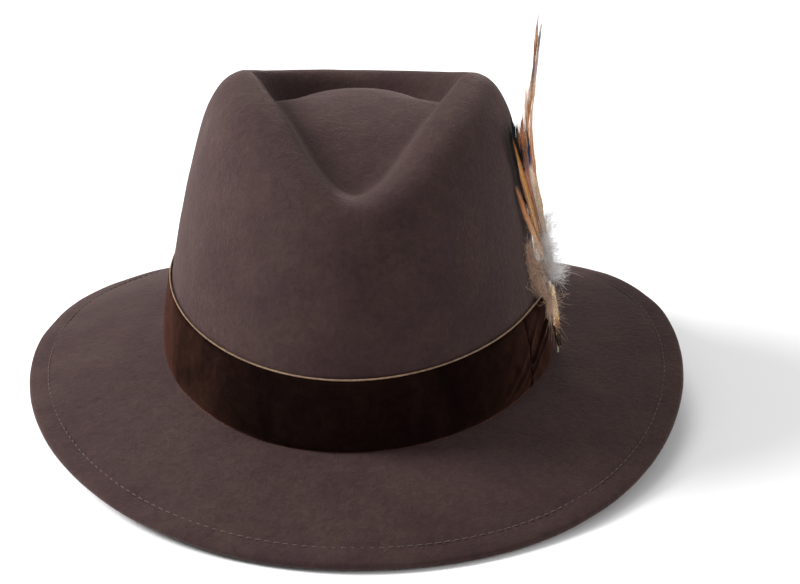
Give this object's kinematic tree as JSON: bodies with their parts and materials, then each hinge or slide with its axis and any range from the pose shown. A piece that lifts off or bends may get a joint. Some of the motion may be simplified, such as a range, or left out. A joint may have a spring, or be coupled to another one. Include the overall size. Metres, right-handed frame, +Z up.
{
  "type": "fedora hat",
  "caption": "Wool felt fedora with a teardrop crown, wide sewn brim, velvet band with corded edge, lining, sweatband and a removable feather mount with a gilt leaf clasp.",
  "frame": {"origin": "on the floor under the middle of the brim, where the hat stands", "axes": "-Y towards the front of the hat, +X towards the wearer's left, +Z up"},
  "size_m": [0.3, 0.3332, 0.1788],
  "materials": {
    "felt": "brushed wool felt, matt, short nap",
    "brim_thread": "twisted thread, matt",
    "velvet": "short pile velvet, soft sheen",
    "gold_cord": "twisted lustrous cord",
    "sweatband_leather": "smooth leather, satin",
    "reed_tape": "woven tape over a reed, matt",
    "bow_satin": "satin ribbon",
    "lining_satin": "satin, soft gloss",
    "lining_cord": "covered piping, satin",
    "clip_brass": "flat spring, satin",
    "quill": "keratin, smooth and slightly glossy",
    "binding_thread": "waxed thread",
    "gilt_metal": "gilt casting, bright on its ribs",
    "feather_pheasant": "feather, silky",
    "feather_lilac": "feather, silky",
    "feather_black": "feather, dark with a green gloss",
    "feather_amber": "feather, silky",
    "feather_blue": "feather, glossy",
    "feather_cream": "feather, soft",
    "fluff_white": "down, soft",
    "fluff_tan": "down, soft"
  },
  "bodies": {
    "hat": {"felt_body": "felt", "brim_stitching": "brim_thread", "hatband": "velvet", "hatband_piping": "gold_cord", "band_keeper": "velvet", "sweatband": "sweatband_leather", "sweatband_reed": "reed_tape", "sweatband_bow": "bow_satin", "lining_side": "lining_satin", "lining_tip": "lining_satin", "lining_piping": "lining_cord"},
    "feather_mount": {"mount_clip": "clip_brass", "quill_bundle": "quill", "quill_binding": "binding_thread", "gilt_leaf_clasp": "gilt_metal", "feather_tall": "feather_pheasant", "feather_tall_second": "feather_lilac", "feather_black": "feather_black", "feather_amber_long": "feather_amber", "feather_amber_short": "feather_amber", "feather_blue": "feather_blue", "feather_cream": "feather_cream", "fluff_white": "fluff_white", "fluff_tan": "fluff_tan"}
  },
  "joints": [
    {"name": "feather_pull", "type": "slide", "parent": "hat", "child": "feather_mount", "axis": [-0.1398, 0, 0.9902], "range_m": [0, 0.045]}
  ]
}
